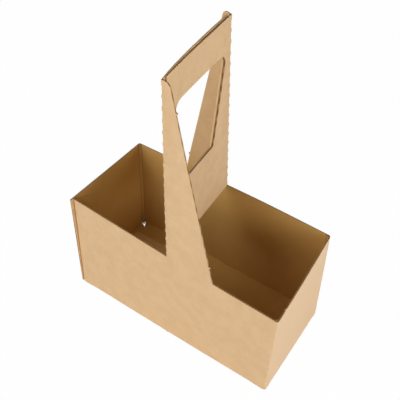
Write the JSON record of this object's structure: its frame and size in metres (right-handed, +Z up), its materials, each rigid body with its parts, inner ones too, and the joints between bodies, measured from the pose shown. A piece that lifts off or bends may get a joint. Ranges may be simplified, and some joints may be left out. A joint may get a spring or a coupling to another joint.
{
  "type": "cardboard cup carrier",
  "caption": "Folded kraft cardboard carrier for takeaway cups: an open rectangular tray with a tall two-ply handle panel across it, slanted side struts and a tapered hand hole.",
  "frame": {"origin": "middle of the underside of the floor, on the surface that the carrier stands on", "axes": "+X along the tray to the right as seen from the front, +Y from front to back, +Z up the handle"},
  "size_m": [0.2, 0.0966, 0.264],
  "materials": {
    "kraft_board": "matte uncoated brown kraft, fine-fluted board"
  },
  "bodies": {
    "root": {"carrier_board": "kraft_board"}
  },
  "joints": []
}
